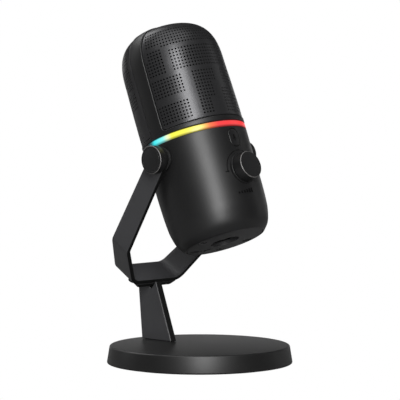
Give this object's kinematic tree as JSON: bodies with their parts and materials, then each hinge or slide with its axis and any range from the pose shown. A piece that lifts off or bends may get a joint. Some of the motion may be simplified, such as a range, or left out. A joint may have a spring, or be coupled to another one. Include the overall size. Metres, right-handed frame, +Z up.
{
  "type": "desktop microphone",
  "caption": "Pill-shaped desktop microphone with perforated head, glowing ring and volume knob, hung in a tilting yoke on a bent post and round weighted base.",
  "frame": {"origin": "centre of the base's underside, on the desk", "axes": "+Z up, -Y towards the person who speaks, +X to the right of the microphone seen from behind it; at rest the microphone leans back 23 degrees"},
  "size_m": [0.1088, 0.1088, 0.199],
  "materials": {
    "body_plastic": "fine matt black moulded plastic",
    "grille_metal": "satin dark grey powder coat on perforated steel",
    "yoke_paint": "satin black powder coat",
    "base_paint": "satin black powder coat",
    "rubber": "matt black rubber",
    "steel": "zinc-plated steel",
    "brass": "turned brass",
    "light_pipe": "translucent diffuser lit in a colour sweep",
    "circuit": "green solder resist on glass-fibre board",
    "foam": "open-cell acoustic foam",
    "control_plastic": "satin black moulded plastic"
  },
  "bodies": {
    "stand": {"base_plate": "base_paint", "base_pad": "rubber", "post": "yoke_paint", "post_screw_1": "steel", "post_screw_2": "steel", "yoke": "yoke_paint", "saddle": "yoke_paint", "saddle_screw_1": "steel", "saddle_screw_2": "steel"},
    "microphone": {"lower_shell": "body_plastic", "head_frame": "body_plastic", "front_grille": "grille_metal", "rear_grille": "grille_metal", "light_ring": "light_pipe", "bottom_plate": "body_plastic", "usb_socket": "steel", "headphone_jack": "control_plastic", "thread_socket": "brass", "chassis": "body_plastic", "main_board": "circuit", "bottom_screw_1": "steel", "bottom_screw_2": "steel", "board_screw_1": "steel", "board_screw_2": "steel", "light_board": "circuit", "front_board": "circuit", "volume_pot": "steel", "mute_switch": "control_plastic", "light_switch": "control_plastic", "capsule_cradle": "body_plastic", "capsule_ring": "rubber", "capsule": "brass", "foam_liner": "foam", "pivot_insert_left": "steel", "pivot_insert_right": "steel", "washer_left": "rubber", "washer_right": "rubber"},
    "volume_control": {"volume_knob": "control_plastic", "volume_shaft": "steel"},
    "mute_key": {"mute_button": "control_plastic"},
    "light_key": {"light_button": "control_plastic"},
    "clamp_left": {"clamp_knob_left": "control_plastic", "clamp_stud_left": "steel", "clamp_cap_left": "control_plastic"},
    "clamp_right": {"clamp_knob_right": "control_plastic", "clamp_stud_right": "steel", "clamp_cap_right": "control_plastic"}
  },
  "joints": [
    {"name": "tilt", "type": "hinge", "parent": "stand", "child": "microphone", "pos_m": [0, 0, 0.12075], "axis": [1, 0, 0], "range_deg": [-60, 70]},
    {"name": "volume_turn", "type": "hinge", "parent": "microphone", "child": "volume_control", "pos_m": [0, -0.03569, 0.11602], "axis": [0, -0.9205, 0.3907], "range_deg": [-140, 140]},
    {"name": "mute_press", "type": "slide", "parent": "microphone", "child": "mute_key", "axis": [0, 0.9205, -0.3907], "range_m": [0, 0.0007], "stiffness_N_per_m": 900, "springref_m": -0.0006},
    {"name": "light_press", "type": "slide", "parent": "microphone", "child": "light_key", "axis": [0, 0.3907, 0.9205], "range_m": [0, 0.0006], "stiffness_N_per_m": 900, "springref_m": -0.0006},
    {"name": "clamp_left_turn", "type": "hinge", "parent": "microphone", "child": "clamp_left", "pos_m": [-0.037, 0, 0.12075], "axis": [-1, 0, 0], "range_deg": [0, 360]},
    {"name": "clamp_right_turn", "type": "hinge", "parent": "microphone", "child": "clamp_right", "pos_m": [0.037, 0, 0.12075], "axis": [1, 0, 0], "range_deg": [0, 360]}
  ]
}
